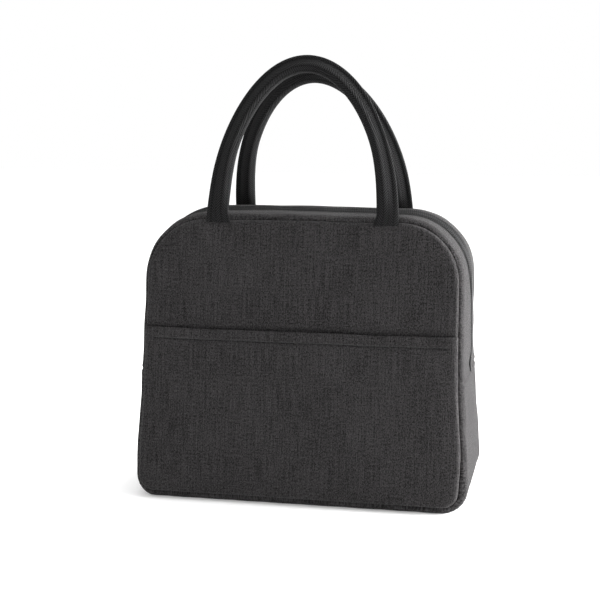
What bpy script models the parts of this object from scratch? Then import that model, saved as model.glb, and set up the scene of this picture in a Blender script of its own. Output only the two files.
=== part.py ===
"""Soft insulated lunch bag: two webbing handles, an over-the-top zip and a front slip pocket.

Sizes below are in millimetres and angles in degrees. X runs along the bag, -Y is its front
and Z is up. The origin is the centre of the base, and the base stands on z = 0.
The front and back panels lean towards each other, and a strip (the gusset) joins their edges
all the way round. Below the fold line the strip is one piece. Above it the strip is split by the
zip into a front and a back half, so that each half can open outwards.
"""

import math

import bmesh
import bpy
from mathutils import Matrix, Vector

MM = 0.001
NODES = "lunch_bag"

# Panels
SEAM_WIDTH_BASE = 225.5
SEAM_WIDTH_TOP = 219.6
SEAM_DEPTH_BASE = 125.8
SEAM_DEPTH_TOP = 86.3
PANEL_BOTTOM = 5.3
PANEL_TOP = 198.5
TOP_CORNER_RADIUS = 41.8
BOTTOM_CORNER_RADIUS = 14.0
FOLD_HEIGHT = 90.5

# Gusset strip, measured out from the seam outline
LOWER_CROWN = (6.0, PANEL_BOTTOM)
UPPER_CROWN = (5.2, 4.3)
SHOULDER = 4.5
SHOULDER_START = 8.0

# Layers of every wall
FABRIC = 1.0
FOAM = 4.0
LINING = 0.5
GAP = 0.3
BINDING_THICKNESS = 1.5
BINDING_WIDTH = 8.0

# Front pocket
POCKET_TOP = 122.0
POCKET_MOUTH = 6.3

# Zip
NECK_HALF = 0.55
COIL_RADIUS = 0.8
TAPE_THICKNESS = 0.6
TAPE_WIDTH = 13.0
SLIDER_LENGTH = 11.0
SLIDER_WIDTH = 9.0
SLIDER_PLATE = 1.1
NECK_LENGTH = 6.0
BRIDGE_LENGTH = 10.4
BRIDGE_WIDTH = 2.2
BRIDGE_THICKNESS = 0.8
SLIDER_ABOVE_FOLD = 1.5
PULL_LENGTH = 25.0
PULL_WIDTH = 7.0
PULL_THICKNESS = 1.0
PULL_EYE_WIDTH = 3.4

# Handles
HANDLE_SPAN = 135.8
HANDLE_HEIGHT = 115.1
HANDLE_FULLNESS = 1.88
WEBBING_RADIUS = 6.2
WEBBING = 1.2
WEBBING_SLOT = 0.15
HANDLE_BASE_WIDTH = 18.0
HANDLE_FLAT = 4.0
HANDLE_ROUND_FROM = 17.0
HANDLE_STANDOFF = 4.0
FRONT_LEAN = 9.4
BACK_LEAN = 21.5

# Facets
TOP_ARC_STEPS = 8
BOTTOM_ARC_STEPS = 4
SHOULDER_STEPS = 3
HANDLE_STEPS = 30
HANDLE_SIDES = 12

# Worked out from the sizes above
TAPER = (SEAM_WIDTH_BASE - SEAM_WIDTH_TOP) / 2 / PANEL_TOP
TAPER_ANGLE = math.atan(TAPER)
LEAN = (SEAM_DEPTH_BASE - SEAM_DEPTH_TOP) / 2 / PANEL_TOP
LEAN_ANGLE = math.atan(LEAN)
FOAM_DEPTH = FABRIC + GAP
LINING_DEPTH = FOAM_DEPTH + FOAM + GAP
INNER_DEPTH = LINING_DEPTH + LINING + GAP
COIL_Y = NECK_HALF + GAP + COIL_RADIUS
LIP_Y = COIL_Y + COIL_RADIUS + GAP
TAPE_Y = COIL_Y - COIL_RADIUS
STRIP_INNER_Y = TAPE_Y + TAPE_WIDTH + GAP
FRONT = -1
BACK = 1


# ---------------------------------------------------------------- scene and materials


def clear_scene():
    for obj in list(bpy.data.objects):
        bpy.data.objects.remove(obj)


def new_collection(name):
    collection = bpy.data.collections.new(name)
    bpy.context.scene.collection.children.link(collection)
    return collection


def principled(name, colour, roughness, metallic=0.0):
    material = bpy.data.materials.new(name)
    material.use_nodes = True
    shader = material.node_tree.nodes["Principled BSDF"]
    shader.inputs["Base Color"].default_value = (*colour, 1.0)
    shader.inputs["Roughness"].default_value = roughness
    shader.inputs["Metallic"].default_value = metallic
    material.diffuse_color = (*colour, 1.0)
    return material


LOOKS = {
    "fabric": ((0.036, 0.034, 0.035), 0.9, 0.0),
    "foam": ((0.85, 0.85, 0.83), 0.8, 0.0),
    "foil": ((0.72, 0.73, 0.75), 0.35, 0.7),
    "binding": ((0.11, 0.11, 0.11), 0.85, 0.0),
    "webbing": ((0.012, 0.012, 0.013), 0.85, 0.0),
    "core": ((0.75, 0.74, 0.70), 0.8, 0.0),
    "tape": ((0.015, 0.015, 0.016), 0.85, 0.0),
    "coil": ((0.010, 0.010, 0.011), 0.45, 0.0),
    "metal": ((0.05, 0.05, 0.055), 0.35, 0.9),
}


def finish_node(obj, name, look, carrier=None):
    """Names the object, gives it a material of its own and hands it to the body that carries it."""
    obj.name = name
    obj.data.name = name
    obj.data.materials.clear()
    obj.data.materials.append(principled(name, *LOOKS[look]))
    for collection in list(obj.users_collection):
        collection.objects.unlink(obj)
    bpy.data.collections[NODES].objects.link(obj)
    if carrier:
        obj.parent = carrier
        obj.matrix_parent_inverse = carrier.matrix_world.inverted()
    return obj


def joint_empty(name, place, rotation=(0.0, 0.0, 0.0), carrier=None):
    """An empty on a joint's axis, which carries the pieces that move with that joint."""
    empty = bpy.data.objects.new(name, None)
    bpy.data.collections[NODES].objects.link(empty)
    empty.empty_display_size = 10 * MM
    empty.location = Vector(place) * MM
    empty.rotation_euler = rotation
    if carrier:
        bpy.context.view_layer.update()
        empty.parent = carrier
        empty.matrix_parent_inverse = carrier.matrix_world.inverted()
    bpy.context.view_layer.update()
    return empty


# ---------------------------------------------------------------- the bag's outline


def half_depth(z):
    """From the middle of the bag to the plane of a panel's outer face."""
    return SEAM_DEPTH_BASE / 2 - LEAN * z


def side_x(z, out):
    """The side of the outline at this height, moved outwards by out."""
    return SEAM_WIDTH_BASE / 2 + out / math.cos(TAPER_ANGLE) - TAPER * z


def corner(centre_z, radius, side, flat, start, end, steps):
    """Points round the right-hand corner, side and flat being its offsets along X and Z."""
    centre_x = side_x(centre_z, -radius)
    points = []
    for step in range(steps + 1):
        angle = start + (end - start) * step / steps
        x = centre_x + (radius + side) * math.cos(angle)
        z = centre_z + (radius + flat) * math.sin(angle)
        points.append((x, z))
    return points


def lower_path(side, flat):
    """From the left fold point down, under the bag and up to the right fold point."""
    right = corner(
        PANEL_BOTTOM + BOTTOM_CORNER_RADIUS,
        BOTTOM_CORNER_RADIUS,
        side,
        flat,
        -math.pi / 2,
        TAPER_ANGLE,
        BOTTOM_ARC_STEPS,
    )
    fold = FOLD_HEIGHT - GAP / 2
    right.append((side_x(fold, side), fold))
    left = [(-x, z) for x, z in reversed(right)]
    return left + right


def upper_path(side, flat):
    """From the right fold point up, over the bag and down to the left fold point."""
    fold = FOLD_HEIGHT + GAP / 2
    right = [(side_x(fold, side), fold)]
    right += corner(
        PANEL_TOP - TOP_CORNER_RADIUS,
        TOP_CORNER_RADIUS,
        side,
        flat,
        TAPER_ANGLE,
        math.pi / 2,
        TOP_ARC_STEPS,
    )
    left = [(-x, z) for x, z in reversed(right)]
    return right + left


def inset(crown, *layers):
    """A crown's side and flat offsets less the thickness of these layers."""
    return crown[0] - sum(layers), crown[1] - sum(layers)


# ---------------------------------------------------------------- builders


def mesh_object(name, verts, faces):
    mesh = bpy.data.meshes.new(name)
    mesh.from_pydata([Vector(v) * MM for v in verts], [], faces)
    shape = bmesh.new()
    shape.from_mesh(mesh)
    bmesh.ops.recalc_face_normals(shape, faces=shape.faces)
    shape.to_mesh(mesh)
    shape.free()
    obj = bpy.data.objects.new(name, mesh)
    bpy.context.scene.collection.objects.link(obj)
    return obj


def loft(name, rings):
    """A closed solid through rings of as many points each, with a flat face at both ends."""
    sides = len(rings[0])
    verts = [point for ring in rings for point in ring]
    faces = []
    for ring in range(len(rings) - 1):
        for side in range(sides):
            a = ring * sides + side
            b = ring * sides + (side + 1) % sides
            faces.append((a, b, b + sides, a + sides))
    faces.append(tuple(range(sides)))
    faces.append(tuple(range(len(verts) - sides, len(verts))))
    return mesh_object(name, verts, faces)


def from_seam(facing, depth):
    """The Y of a point this far in from a panel's outer face."""
    return lambda z: facing * (half_depth(z) - depth)


def from_zip(facing, distance):
    """The Y of a point this far from the middle of the zip."""
    return lambda z: facing * distance


def strip(name, path, section):
    """Sweeps a section round the outline. Each of its points is its offsets and its Y rule."""
    runs = []
    for offsets, y_rule in section:
        runs.append([(x, y_rule(z), z) for x, z in path(*offsets)])
    return loft(name, list(zip(*runs)))


def band_section(outer, thickness, first_y, last_y):
    """A flat band's four corners."""
    inner = inset(outer, thickness)
    return [(outer, first_y), (outer, last_y), (inner, last_y), (inner, first_y)]


def shoulder(crown, thickness, facing):
    """The rounded edge of the gusset fabric where it turns down into a panel seam."""
    points = []
    reach = inset(crown, thickness)
    for step in range(SHOULDER_STEPS + 1):
        angle = math.radians(SHOULDER_START + (90 - SHOULDER_START) * step / SHOULDER_STEPS)
        offsets = (reach[0] * math.sin(angle), reach[1] * math.sin(angle))
        depth = SHOULDER - (SHOULDER - thickness) * math.cos(angle)
        points.append((offsets, from_seam(facing, depth)))
    return points


def plate(name, outline, facing, depth, thickness, foot_depth=0.0, slope=LEAN_ANGLE):
    """A flat sheet that leans with a panel: outline is in X and Z, depth is in from its face."""
    middle = depth + thickness / 2
    curve = bpy.data.curves.new(name, "CURVE")
    curve.dimensions = "2D"
    curve.fill_mode = "BOTH"
    curve.extrude = thickness / 2 * MM
    spline = curve.splines.new("POLY")
    spline.points.add(len(outline) - 1)
    spline.use_cyclic_u = True
    for point, (x, z) in zip(spline.points, outline):
        up_slope = (z + middle * math.sin(slope)) / math.cos(slope)
        point.co = (x * MM, up_slope * MM, 0.0, 1.0)
    obj = bpy.data.objects.new(name, curve)
    bpy.context.scene.collection.objects.link(obj)
    turn = 0.0 if facing == FRONT else math.pi
    obj.rotation_euler = (math.pi / 2 - slope, 0.0, turn)
    bpy.context.view_layer.update()
    outwards = obj.matrix_world.to_3x3() @ Vector((0.0, 0.0, 1.0))
    foot = Vector((0.0, facing * (SEAM_DEPTH_BASE / 2 - foot_depth), 0.0))
    obj.location = (foot - outwards * middle) * MM
    return obj


def box(name, centre, size):
    bpy.ops.mesh.primitive_cube_add(size=1.0, location=Vector(centre) * MM)
    obj = bpy.context.object
    obj.name = name
    obj.scale = Vector(size) * MM
    bpy.ops.object.transform_apply(location=True, rotation=False, scale=True)
    return obj


def unite(base, others):
    """Joins the others to base with Booleans and removes them."""
    for other in others:
        joint = base.modifiers.new(other.name, "BOOLEAN")
        joint.operation = "UNION"
        joint.object = other
    bpy.context.view_layer.update()
    graph = bpy.context.evaluated_depsgraph_get()
    mesh = bpy.data.meshes.new_from_object(base.evaluated_get(graph))
    base.modifiers.clear()
    base.data = mesh
    for other in others:
        bpy.data.objects.remove(other)
    return base


# ---------------------------------------------------------------- panels, gusset and pocket


def panel_stack(word, facing, level, path, crown, carrier):
    """A panel's fabric, foam and lining on one side of the fold."""
    inner_edge = inset(crown, FABRIC, GAP, FOAM, GAP)
    sheets = (
        ("panel", "fabric", (0.0, 0.0), 0.0, FABRIC),
        ("foam", "foam", inner_edge, FOAM_DEPTH, FOAM),
        ("lining", "foil", inner_edge, LINING_DEPTH, LINING),
    )
    for kind, look, edge, depth, thickness in sheets:
        name = f"{word}_{kind}_{level}"
        sheet = plate(name, path(*edge), facing, depth, thickness)
        finish_node(sheet, name, look, carrier)


def binding(word, facing, level, path, crown, carrier):
    """The tape that covers the seam inside the bag, where a panel's lining meets the gusset's."""
    name = f"seam_binding_{word}_{level}"
    outer = inset(crown, FABRIC, GAP, FOAM, GAP, LINING, GAP)
    section = band_section(
        outer,
        BINDING_THICKNESS,
        from_seam(facing, INNER_DEPTH),
        from_seam(facing, INNER_DEPTH + BINDING_WIDTH),
    )
    finish_node(strip(name, path, section), name, "binding", carrier)


def lower_gusset():
    """The strip under the bag and up both sides to the fold, with its foam and lining."""
    outer = shoulder(LOWER_CROWN, 0.0, FRONT) + shoulder(LOWER_CROWN, 0.0, BACK)[::-1]
    inner = shoulder(LOWER_CROWN, FABRIC, FRONT) + shoulder(LOWER_CROWN, FABRIC, BACK)[::-1]
    skin = strip("lower_gusset", lower_path, outer + inner[::-1])
    finish_node(skin, "lower_gusset", "fabric")
    layers = (
        ("lower_gusset_foam", "foam", (FABRIC, GAP), FOAM, SHOULDER),
        ("lower_gusset_lining", "foil", (FABRIC, GAP, FOAM, GAP), LINING, INNER_DEPTH),
    )
    for name, look, above, thickness, depth in layers:
        ends = from_seam(FRONT, depth), from_seam(BACK, depth)
        section = band_section(inset(LOWER_CROWN, *above), thickness, *ends)
        finish_node(strip(name, lower_path, section), name, look)


def top_strip(word, facing, carrier):
    """Half of the strip above the fold, from a panel seam to the zip, with its layers."""
    name = f"top_strip_{word}"
    lip = from_zip(facing, LIP_Y)
    outer = shoulder(UPPER_CROWN, 0.0, facing) + [(UPPER_CROWN, lip)]
    inner = shoulder(UPPER_CROWN, FABRIC, facing) + [(inset(UPPER_CROWN, FABRIC), lip)]
    finish_node(strip(name, upper_path, outer + inner[::-1]), name, "fabric", carrier)
    layers = (
        ("foam", "foam", (FABRIC, GAP), FOAM, SHOULDER),
        ("lining", "foil", (FABRIC, GAP, FOAM, GAP), LINING, INNER_DEPTH),
    )
    for kind, look, above, thickness, depth in layers:
        name = f"top_{kind}_{word}"
        ends = from_seam(facing, depth), from_zip(facing, STRIP_INNER_Y)
        section = band_section(inset(UPPER_CROWN, *above), thickness, *ends)
        finish_node(strip(name, upper_path, section), name, look, carrier)


def zip_half(word, facing, carrier):
    """One tape of the zip and the row of coil on its edge."""
    name = f"zip_tape_{word}"
    tape_outer = inset(UPPER_CROWN, FABRIC, GAP)
    ends = from_zip(facing, TAPE_Y), from_zip(facing, TAPE_Y + TAPE_WIDTH)
    section = band_section(tape_outer, TAPE_THICKNESS, *ends)
    finish_node(strip(name, upper_path, section), name, "tape", carrier)

    name = f"zip_coil_{word}"
    above_tape = -GAP - COIL_RADIUS
    curve = bpy.data.curves.new(name, "CURVE")
    curve.dimensions = "3D"
    curve.bevel_depth = COIL_RADIUS * MM
    curve.bevel_resolution = 2
    curve.use_fill_caps = True
    path = upper_path(*inset(tape_outer, above_tape))
    spline = curve.splines.new("POLY")
    spline.points.add(len(path) - 1)
    for point, (x, z) in zip(spline.points, path):
        point.co = (x * MM, facing * COIL_Y * MM, z * MM, 1.0)
    coil = bpy.data.objects.new(name, curve)
    bpy.context.scene.collection.objects.link(coil)
    finish_node(coil, name, "coil", carrier)


def pocket_slope():
    """The pocket stands off the panel by GAP at its foot and by POCKET_MOUTH at its mouth."""
    flare = (POCKET_MOUTH - GAP) / (POCKET_TOP - PANEL_BOTTOM)
    return LEAN - flare


def pocket_face(z):
    """The Y of the pocket's outer face at this height."""
    foot = half_depth(PANEL_BOTTOM) + GAP + FABRIC
    return -(foot - pocket_slope() * (z - PANEL_BOTTOM))


def pocket(level, outline, carrier):
    name = f"front_pocket_{level}"
    slope = math.atan(pocket_slope())
    foot_depth = SEAM_DEPTH_BASE / 2 + pocket_face(0.0)
    sheet = plate(name, outline, FRONT, 0.0, FABRIC, foot_depth, slope)
    finish_node(sheet, name, "fabric", carrier)


def pocket_upper_outline():
    fold = FOLD_HEIGHT + GAP / 2
    low, high = side_x(fold, 0.0), side_x(POCKET_TOP, 0.0)
    return [(low, fold), (high, POCKET_TOP), (-high, POCKET_TOP), (-low, fold)]


# ---------------------------------------------------------------- handles


def handle_centre(parameter):
    """The middle of the handle: 0 is its right foot, 1 is its left foot, and Z is up the handle."""
    angle = math.pi * parameter
    power = 2 / HANDLE_FULLNESS
    reach = HANDLE_SPAN / 2 - HANDLE_BASE_WIDTH / 2
    rise = HANDLE_HEIGHT - WEBBING_RADIUS
    cosine = math.cos(angle)
    x = math.copysign(reach * abs(cosine) ** power, cosine)
    return Vector((x, 0.0, rise * max(math.sin(angle), 0.0) ** power))


def handle_rings(wall):
    """Rings round the handle, the wall's thickness in from its outside and flat at its feet."""
    foot_half = WEBBING + WEBBING_SLOT
    rings = []
    for step in range(HANDLE_STEPS + 1):
        parameter = step / HANDLE_STEPS
        centre = handle_centre(parameter)
        ahead = handle_centre(min(parameter + 0.004, 1.0))
        behind = handle_centre(max(parameter - 0.004, 0.0))
        along = (ahead - behind).normalized()
        if step in (0, HANDLE_STEPS):
            along = Vector((0.0, 0.0, 1.0 if step == 0 else -1.0))
        across = Vector((along.z, 0.0, -along.x))
        round_up = (centre.z - HANDLE_FLAT) / (HANDLE_ROUND_FROM - HANDLE_FLAT)
        round_up = min(max(round_up, 0.0), 1.0)
        blend = round_up * round_up * (3 - 2 * round_up)
        wide = HANDLE_BASE_WIDTH / 2 + (WEBBING_RADIUS - HANDLE_BASE_WIDTH / 2) * blend - wall
        thick = foot_half + (WEBBING_RADIUS - foot_half) * blend - wall
        ring = []
        for side in range(HANDLE_SIDES):
            angle = 2 * math.pi * side / HANDLE_SIDES
            point = centre + across * wide * math.cos(angle)
            ring.append(point + Vector((0.0, foot_half + thick * math.sin(angle), 0.0)))
        rings.append(ring)
    return rings


def handle_webbing(name):
    """A hollow tube of webbing, open at both flat feet, where it is sewn into the seam."""
    outer = handle_rings(0.0)
    inner = handle_rings(WEBBING)
    verts = [point for ring in outer + inner for point in ring]
    total = len(outer) * HANDLE_SIDES
    faces = []
    for side in range(HANDLE_SIDES):
        after = (side + 1) % HANDLE_SIDES
        for ring in range(len(outer) - 1):
            a, b = ring * HANDLE_SIDES + side, ring * HANDLE_SIDES + after
            faces.append((a, b, b + HANDLE_SIDES, a + HANDLE_SIDES))
            faces.append((a + total, a + total + HANDLE_SIDES, b + total + HANDLE_SIDES, b + total))
        last = total - HANDLE_SIDES
        faces.append((side, side + total, after + total, after))
        faces.append((last + side, last + after, last + after + total, last + side + total))
    return mesh_object(name, verts, faces)


def handle_core(name):
    """The soft cord inside the webbing, which ends where the webbing flattens."""
    foot_half = WEBBING + WEBBING_SLOT
    curve = bpy.data.curves.new(name, "CURVE")
    curve.dimensions = "3D"
    curve.bevel_depth = (WEBBING_RADIUS - WEBBING - GAP) * math.cos(math.pi / HANDLE_SIDES) * MM
    curve.bevel_resolution = 2
    curve.use_fill_caps = True
    centres = [handle_centre(step / HANDLE_STEPS) for step in range(HANDLE_STEPS + 1)]
    centres = [centre for centre in centres if centre.z > HANDLE_ROUND_FROM]
    spline = curve.splines.new("POLY")
    spline.points.add(len(centres) - 1)
    for point, centre in zip(spline.points, centres):
        point.co = (centre.x * MM, foot_half * MM, centre.z * MM, 1.0)
    core = bpy.data.objects.new(name, curve)
    bpy.context.scene.collection.objects.link(core)
    return core


def handle(word, facing, lean, carrier):
    """A handle on the line where it is sewn in, leaning towards the middle of the bag."""
    place = (0.0, facing * (half_depth(PANEL_TOP) + HANDLE_STANDOFF), PANEL_TOP + GAP)
    turn = 0.0 if facing == FRONT else math.pi
    pivot = joint_empty(f"{word}_handle", place, (-math.radians(lean), 0.0, turn), carrier)
    for kind, look, build in (
        ("webbing", "webbing", handle_webbing),
        ("core", "core", handle_core),
    ):
        name = f"{word}_handle_{kind}"
        piece = build(name)
        piece.matrix_world = pivot.matrix_world
        bpy.context.view_layer.update()
        finish_node(piece, name, look, pivot)


# ---------------------------------------------------------------- zip slider and pull


def slider_and_pull(carrier):
    """The slider, parked at the left end of the zip, and the pull that hangs from it."""
    tape_outer = UPPER_CROWN[0] - FABRIC - GAP
    inner_face = tape_outer - TAPE_THICKNESS - GAP
    outer_face = tape_outer + GAP + 2 * COIL_RADIUS + GAP
    plate_top = outer_face + SLIDER_PLATE
    pull_axis = plate_top + GAP + PULL_THICKNESS / 2
    bridge_under = pull_axis + PULL_THICKNESS / 2 + GAP
    bridge_top = bridge_under + BRIDGE_THICKNESS
    middle_z = FOLD_HEIGHT + SLIDER_ABOVE_FOLD + SLIDER_LENGTH / 2
    facing_left = (0.0, -TAPER_ANGLE, math.pi)

    slide = joint_empty("zip_slider", (-side_x(middle_z, 0.0), 0.0, middle_z), facing_left, carrier)
    body = box(
        "zip_slider_body",
        (outer_face + SLIDER_PLATE / 2, 0.0, 0.0),
        (SLIDER_PLATE, SLIDER_WIDTH, SLIDER_LENGTH),
    )
    inner = box(
        "inner_plate",
        (inner_face - SLIDER_PLATE / 2, 0.0, 0.0),
        (SLIDER_PLATE, SLIDER_WIDTH, SLIDER_LENGTH),
    )
    neck_reach = plate_top - inner_face + SLIDER_PLATE / 2 - SLIDER_PLATE / 4
    neck = box(
        "neck",
        ((plate_top + inner_face - SLIDER_PLATE) / 2, 0.0, SLIDER_LENGTH / 2 - NECK_LENGTH / 2 - 1.0),
        (neck_reach, 2 * NECK_HALF, NECK_LENGTH),
    )
    bridge_bar = box(
        "bridge_bar",
        ((bridge_under + bridge_top) / 2, 0.0, 0.0),
        (BRIDGE_THICKNESS, BRIDGE_WIDTH, BRIDGE_LENGTH),
    )
    feet = []
    for end in (-1, 1):
        foot_reach = bridge_top - plate_top + SLIDER_PLATE / 2
        feet.append(
            box(
                f"bridge_foot_{end}",
                (bridge_top - foot_reach / 2, 0.0, end * (BRIDGE_LENGTH - BRIDGE_THICKNESS) / 2),
                (foot_reach, BRIDGE_WIDTH, BRIDGE_THICKNESS),
            )
        )
    unite(body, [inner, neck, bridge_bar, *feet])
    body.matrix_world = slide.matrix_world
    bpy.context.view_layer.update()
    finish_node(body, "zip_slider_body", "metal", slide)

    axis_place = slide.matrix_world @ Vector((pull_axis * MM, 0.0, 0.0))
    pivot = joint_empty("zip_pull", axis_place / MM, facing_left, slide)
    tab = pull_tab(bridge_top - pull_axis)
    turn = Matrix.Rotation(-math.pi / 2, 4, "Y")
    tab.matrix_world = pivot.matrix_world @ turn
    bpy.context.view_layer.update()
    finish_node(tab, "zip_pull_tab", "metal", pivot)


def pull_tab(bridge_rise):
    """A flat tab along -X of its own frame, with an eye that turns round the slider's bridge."""
    half_bar = PULL_THICKNESS / 2
    eye_far = math.hypot(BRIDGE_LENGTH / 2, bridge_rise) + GAP
    curve = bpy.data.curves.new("zip_pull_tab", "CURVE")
    curve.dimensions = "2D"
    curve.fill_mode = "BOTH"
    curve.extrude = PULL_THICKNESS / 2 * MM
    end_radius = PULL_WIDTH / 2
    outline = [(half_bar, end_radius), (half_bar, -end_radius)]
    for step in range(9):
        angle = -math.pi / 2 - math.pi * step / 8
        x = -PULL_LENGTH + end_radius + end_radius * math.cos(angle)
        outline.append((x, end_radius * math.sin(angle)))
    half_eye = PULL_EYE_WIDTH / 2
    eye = [(-half_bar, half_eye), (-eye_far, half_eye), (-eye_far, -half_eye), (-half_bar, -half_eye)]
    for loop in (outline, eye):
        spline = curve.splines.new("POLY")
        spline.points.add(len(loop) - 1)
        spline.use_cyclic_u = True
        for point, (x, y) in zip(spline.points, loop):
            point.co = (x * MM, y * MM, 0.0, 1.0)
    obj = bpy.data.objects.new("zip_pull_tab", curve)
    bpy.context.scene.collection.objects.link(obj)
    return obj


# ---------------------------------------------------------------- the bag


def main():
    clear_scene()
    new_collection(NODES)

    front_hinge = (0.0, pocket_face(FOLD_HEIGHT), FOLD_HEIGHT)
    back_hinge = (0.0, half_depth(FOLD_HEIGHT), FOLD_HEIGHT)
    front_top = joint_empty("front_top", front_hinge)
    back_top = joint_empty("back_top", back_hinge)

    lower_gusset()
    for word, facing, top in (("front", FRONT, front_top), ("back", BACK, back_top)):
        panel_stack(word, facing, "lower", lower_path, LOWER_CROWN, None)
        panel_stack(word, facing, "upper", upper_path, UPPER_CROWN, top)
        binding(word, facing, "lower", lower_path, LOWER_CROWN, None)
        binding(word, facing, "upper", upper_path, UPPER_CROWN, top)
        top_strip(word, facing, top)
        zip_half(word, facing, top)
    pocket("lower", lower_path(0.0, 0.0), None)
    pocket("upper", pocket_upper_outline(), front_top)
    handle("front", FRONT, FRONT_LEAN, front_top)
    handle("back", BACK, BACK_LEAN, back_top)
    slider_and_pull(back_top)


main()
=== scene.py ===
import math

import bmesh
import bpy
import numpy as np
from mathutils import Matrix, Vector


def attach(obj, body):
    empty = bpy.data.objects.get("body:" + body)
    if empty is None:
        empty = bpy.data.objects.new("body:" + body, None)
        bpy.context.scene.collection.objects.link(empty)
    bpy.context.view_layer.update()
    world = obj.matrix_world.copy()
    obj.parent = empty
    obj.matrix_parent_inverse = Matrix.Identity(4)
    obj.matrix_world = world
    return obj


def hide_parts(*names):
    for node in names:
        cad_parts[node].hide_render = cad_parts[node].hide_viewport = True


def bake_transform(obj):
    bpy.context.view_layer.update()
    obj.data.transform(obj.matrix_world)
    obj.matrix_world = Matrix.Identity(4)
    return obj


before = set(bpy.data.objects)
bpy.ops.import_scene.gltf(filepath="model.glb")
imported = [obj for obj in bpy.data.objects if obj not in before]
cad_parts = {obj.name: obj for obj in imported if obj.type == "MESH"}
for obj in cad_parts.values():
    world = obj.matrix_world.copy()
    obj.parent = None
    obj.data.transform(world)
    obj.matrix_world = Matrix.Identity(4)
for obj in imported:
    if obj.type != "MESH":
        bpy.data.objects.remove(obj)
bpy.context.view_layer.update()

# Sizes are in millimetres. X runs along the bag, -Y is its front and Z is up.
MM = 0.001

# The seam outline of a panel and the depth between the two panels
SEAM_WIDTH_BASE = 225.5
SEAM_WIDTH_TOP = 219.6
SEAM_DEPTH_BASE = 125.8
SEAM_DEPTH_TOP = 86.3
PANEL_BOTTOM = 5.3
PANEL_TOP = 198.5
TOP_RADIUS = 41.8
BOTTOM_RADIUS = 10.2
FOLD = 90.5
HEM = 122.0

# The gusset's rise above the seam outline, at the sides and at the flat top or bottom
LOWER_CROWN = (6.0, PANEL_BOTTOM)
UPPER_CROWN = (5.0, 4.2)
SHOULDER = 4.6
SEAM_DEPTH = 2.4
EDGE_ROLL = 2.6
END_ROLL = 2.2
END_RIDGE = 0.75

# Layers, and how far the pocket stands out from the panel it is pressed into
FABRIC = 1.0
FOAM = 4.0
LINING = 0.35
POCKET_PROUD = 1.2
UNDER_POCKET = POCKET_PROUD + 0.3

# How far a piece bulges in its middle, and the distance from its seam over which it does
PANEL_PUFF = (1.5, 16.0)
POCKET_PUFF = (1.6, 14.0)
INNER_PUFF = 1.4

# How far the edge of a panel or the pocket is turned in at a seam, and at the pocket's hem
PANEL_TURN = 1.6
POCKET_TURN = 1.2
HEM_TURN = 0.5
HEM_STITCH = 7.4

# The centre of a puff that swells the low sides, its reach, and how much on each side
LOW_FULL_Z = 36.0
LOW_FULL_REACH = 30.0
RIGHT_FULL = 2.6
LEFT_FULL = 1.6

# A point inside the bag that outward faces turn away from
MIDDLE = np.array([0.0, 0.0, 100.0])

# Mesh density. The stations are distances from the end of a strip
COLUMNS = 80
ROWS = 64
POCKET_ROWS = 36
STEP = 2.6
CORNER_EASE = 24.0
END_STATIONS = (0.05, 0.3, 0.7, 1.2, 1.8, 2.6)
SMOOTHING = 400

# Shifts of a piece's UV, so that its yarns aren't its neighbour's
POCKET_SHIFT = 37.0
FRONT_STRIP_SHIFT = 400.0
BACK_STRIP_SHIFT = 900.0

TAPER = (SEAM_WIDTH_BASE - SEAM_WIDTH_TOP) / 2 / PANEL_TOP
TAPER_ANGLE = math.atan(TAPER)
LEAN = (SEAM_DEPTH_BASE - SEAM_DEPTH_TOP) / 2 / PANEL_TOP
TOP_CENTRE_Z = PANEL_TOP - TOP_RADIUS
BOTTOM_CENTRE_Z = PANEL_BOTTOM + BOTTOM_RADIUS
FRONT = -1
BACK = 1


# ---------------------------------------------------------------- outline


def half_depth(z):
    return SEAM_DEPTH_BASE / 2 - LEAN * z


def side_x(z, out=0.0):
    return SEAM_WIDTH_BASE / 2 + out / math.cos(TAPER_ANGLE) - TAPER * z


TOP_CENTRE_X = side_x(TOP_CENTRE_Z, -TOP_RADIUS)
BOTTOM_CENTRE_X = side_x(BOTTOM_CENTRE_Z, -BOTTOM_RADIUS)


def smooth(t):
    t = np.clip(t, 0.0, 1.0)
    return t * t * (3 - 2 * t)


def edge_distance(x, z):
    """How far inside the seam outline a point of a panel is."""
    ax = np.abs(x)
    inside = np.minimum((side_x(z) - ax) * math.cos(TAPER_ANGLE), PANEL_TOP - z)
    inside = np.minimum(inside, z - PANEL_BOTTOM)
    corners = (
        (TOP_CENTRE_X, TOP_CENTRE_Z, TOP_RADIUS, 1),
        (BOTTOM_CENTRE_X, BOTTOM_CENTRE_Z, BOTTOM_RADIUS, -1),
    )
    for cx, cz, radius, way in corners:
        in_corner = (ax > cx) & ((z - cz) * way > 0)
        inside = np.where(in_corner, radius - np.hypot(ax - cx, z - cz), inside)
    return inside


def run(*pieces):
    """Joins straight runs and arcs into dense points with their outward normals."""
    points, normals = [], []
    for piece in pieces:
        if piece[0] == "arc":
            _, cx, cz, radius, start, end = piece
            angles = np.linspace(start, end, 60)
            normal = np.stack([np.cos(angles), np.sin(angles)], 1)
            points.append(np.array([cx, cz]) + radius * normal)
        else:
            _, first, last, normal = piece
            t = np.linspace(0, 1, 60)[:, None]
            points.append(np.array(first) * (1 - t) + np.array(last) * t)
            normal = np.tile(np.array(normal, float), (60, 1))
        normals.append(normal)
    return np.concatenate(points), np.concatenate(normals)


def sample(points, normals, count):
    """Evenly spaced points along a run, with normals and the distance along it."""
    gaps = np.hypot(*np.diff(points, axis=0).T)
    along = np.concatenate([[0], np.cumsum(gaps)])
    wanted = np.linspace(0, along[-1], count + 1)
    columns = [np.interp(wanted, along, c) for c in (*points.T, *normals.T)]
    return np.stack(columns[:2], 1), np.stack(columns[2:], 1), wanted


SIDE_NORMAL = (math.cos(TAPER_ANGLE), math.sin(TAPER_ANGLE))
QUARTER = math.pi / 2


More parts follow.
